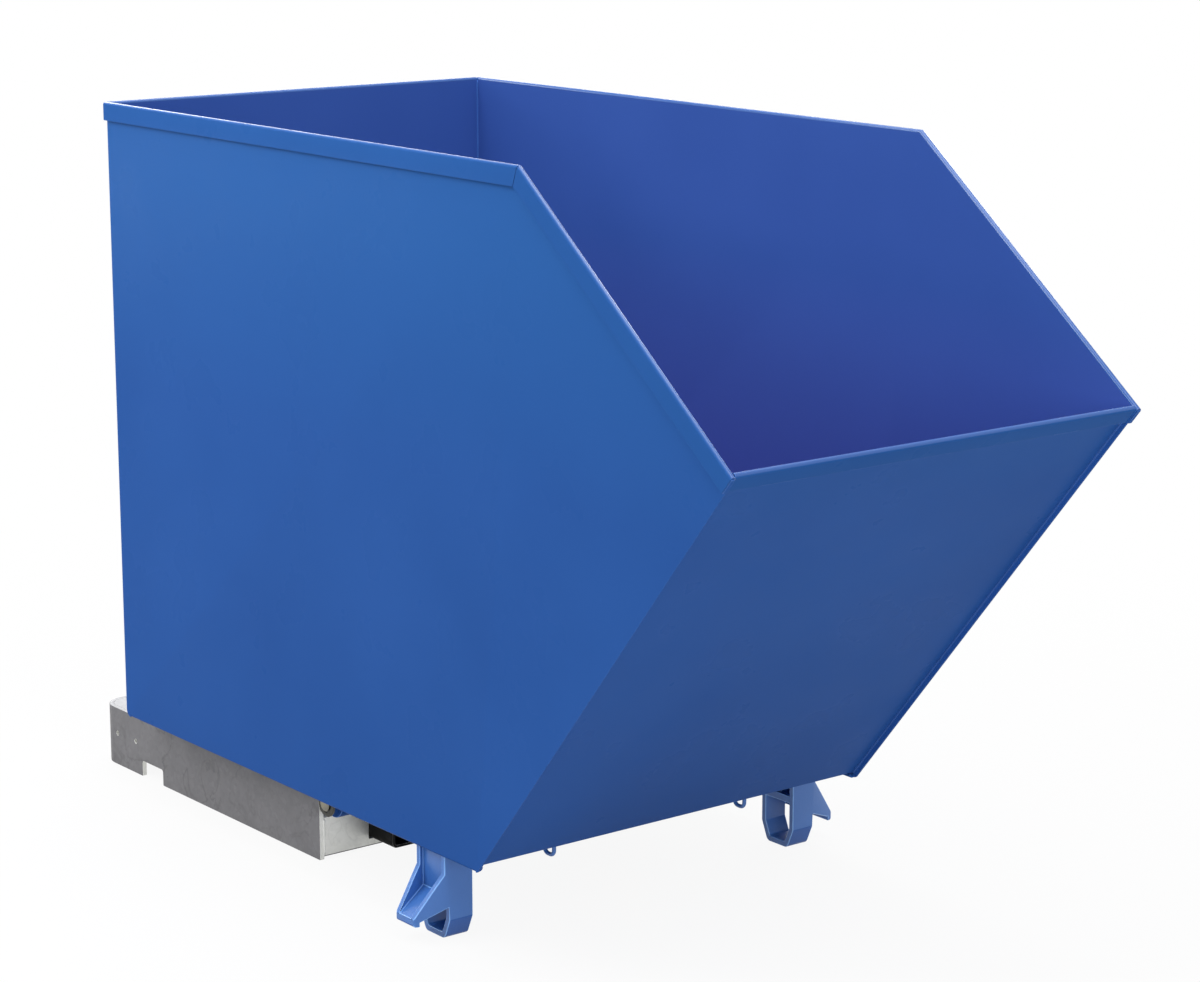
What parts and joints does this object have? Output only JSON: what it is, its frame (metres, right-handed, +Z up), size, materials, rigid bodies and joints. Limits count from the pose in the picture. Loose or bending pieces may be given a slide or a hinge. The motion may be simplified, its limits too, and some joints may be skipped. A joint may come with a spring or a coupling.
{
  "type": "tipping skip",
  "caption": "Open sheet-steel skip with a sloping pouring lip, tipping forward on pivots over a low fork-pocket chassis, with cast stacking feet and a hooked lever latch at the back.",
  "frame": {"origin": "on the ground, midway across the skip and midway between its front lip and the rear of the chassis", "axes": "+Z up, the bin pours towards -Y, +X to the right as seen from the front"},
  "size_m": [0.834, 1.8008, 1.183],
  "materials": {
    "blue_paint": "semi-gloss powder coat",
    "galvanised": "hot-dip galvanised",
    "black_paint": "matt black paint",
    "zinc_plate": "bright zinc plate",
    "rubber_pad": "matt",
    "grip_plastic": "matt"
  },
  "bodies": {
    "chassis": {"chassis_side_left": "galvanised", "chassis_side_right": "galvanised", "chassis_rear_plate": "galvanised", "chassis_deck": "galvanised", "fork_pocket_left": "black_paint", "fork_pocket_right": "black_paint", "front_beam": "galvanised", "pivot_bushes": "zinc_plate", "pivot_ear_left": "galvanised", "pivot_ear_right": "galvanised", "pivot_pin_left": "zinc_plate", "pivot_pin_right": "zinc_plate", "pin_washers": "zinc_plate", "pin_clips": "zinc_plate", "rest_pad_left": "rubber_pad", "rest_pad_right": "rubber_pad", "latch_bracket": "galvanised", "latch_stop_pin": "zinc_plate", "latch_bolt": "zinc_plate", "latch_nut": "zinc_plate"},
    "bin": {"side_panel_left": "blue_paint", "side_panel_right": "blue_paint", "back_panel": "blue_paint", "floor_panel": "blue_paint", "front_panel": "blue_paint", "pivot_lug_left": "blue_paint", "pivot_lug_right": "blue_paint", "foot_left": "blue_paint", "foot_right": "blue_paint", "floor_eye_left": "blue_paint", "floor_eye_right": "blue_paint", "rest_channel": "blue_paint", "striker_bracket": "blue_paint", "striker_bar": "zinc_plate"},
    "latch": {"latch_hook": "galvanised", "lever_grip": "grip_plastic"}
  },
  "joints": [
    {"name": "bin_tip", "type": "hinge", "parent": "chassis", "child": "bin", "pos_m": [0, 0.17114, 0.101], "axis": [1, 0, 0], "range_deg": [0, 90]},
    {"name": "latch_swing", "type": "hinge", "parent": "chassis", "child": "latch", "pos_m": [0, 0.77114, 0.137], "axis": [1, 0, 0], "range_deg": [0, 45]}
  ]
}
